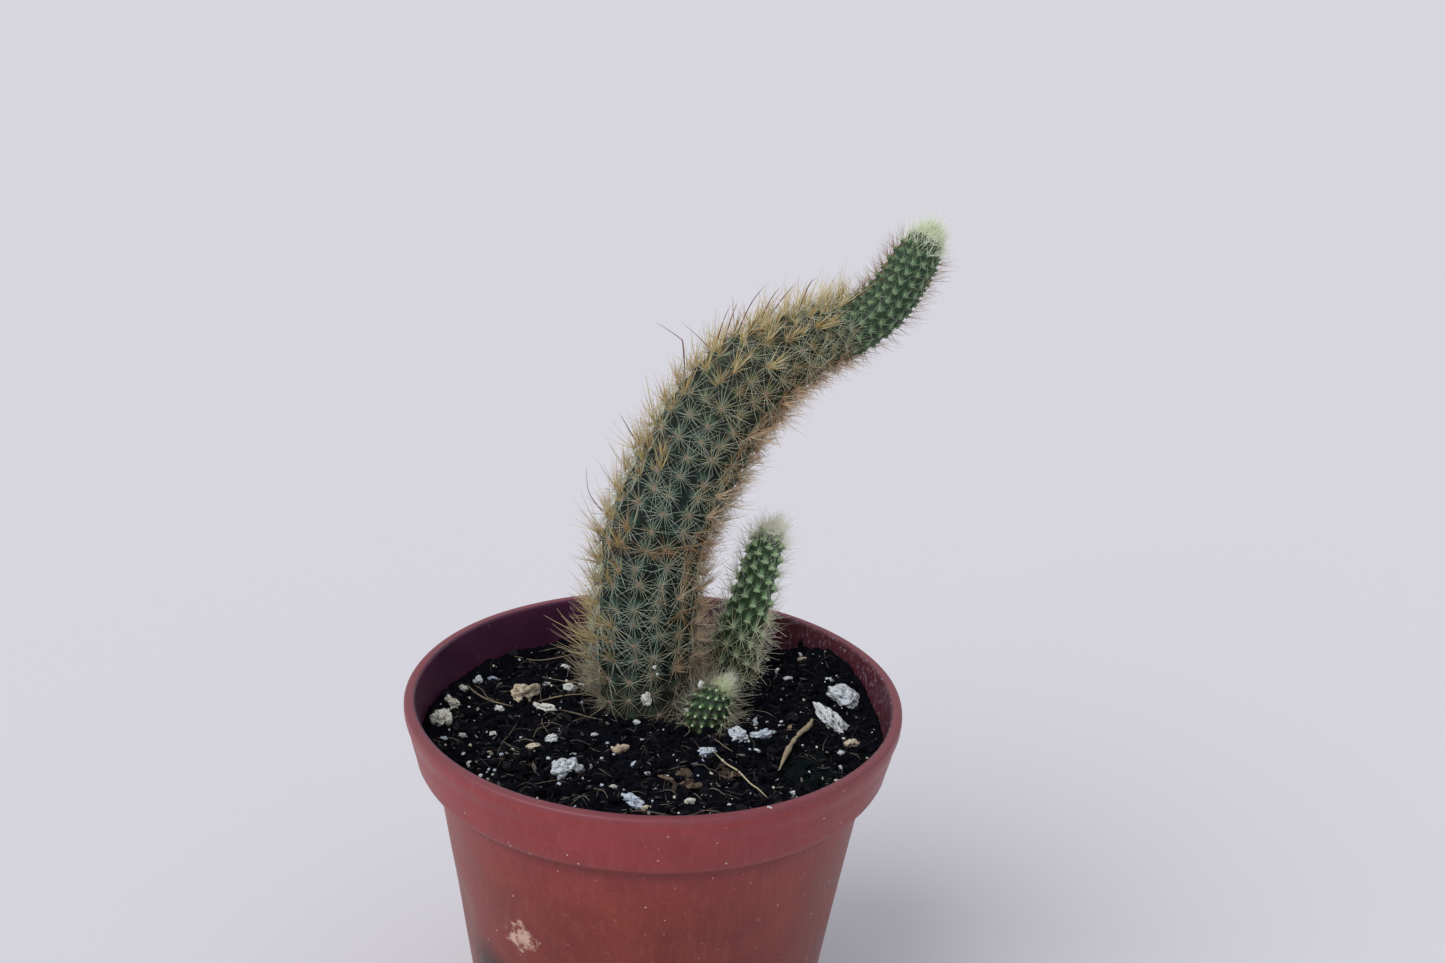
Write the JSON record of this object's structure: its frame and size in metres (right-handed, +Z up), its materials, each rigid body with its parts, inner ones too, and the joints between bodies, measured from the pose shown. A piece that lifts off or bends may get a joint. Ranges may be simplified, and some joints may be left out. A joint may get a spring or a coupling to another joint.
{
  "type": "potted monkey tail cactus",
  "caption": "Potted columnar cactus with a bent spiny stem and young offsets, in soil in a round tapered plastic nursery pot.",
  "frame": {"origin": "centre of the flat underside of the pot's base", "axes": "+Z up, -Y towards the viewer, +X to the side that the main stem bends over"},
  "size_m": [0.1115, 0.105, 0.1889],
  "materials": {
    "pot_plastic": "satin",
    "soil": "rough",
    "old_stem": "matte",
    "young_stem": "matte"
  },
  "bodies": {
    "root": {"pot": "pot_plastic", "soil": "soil", "main_stem": "old_stem", "tall_offset": "young_stem", "small_offset": "young_stem"}
  },
  "joints": []
}
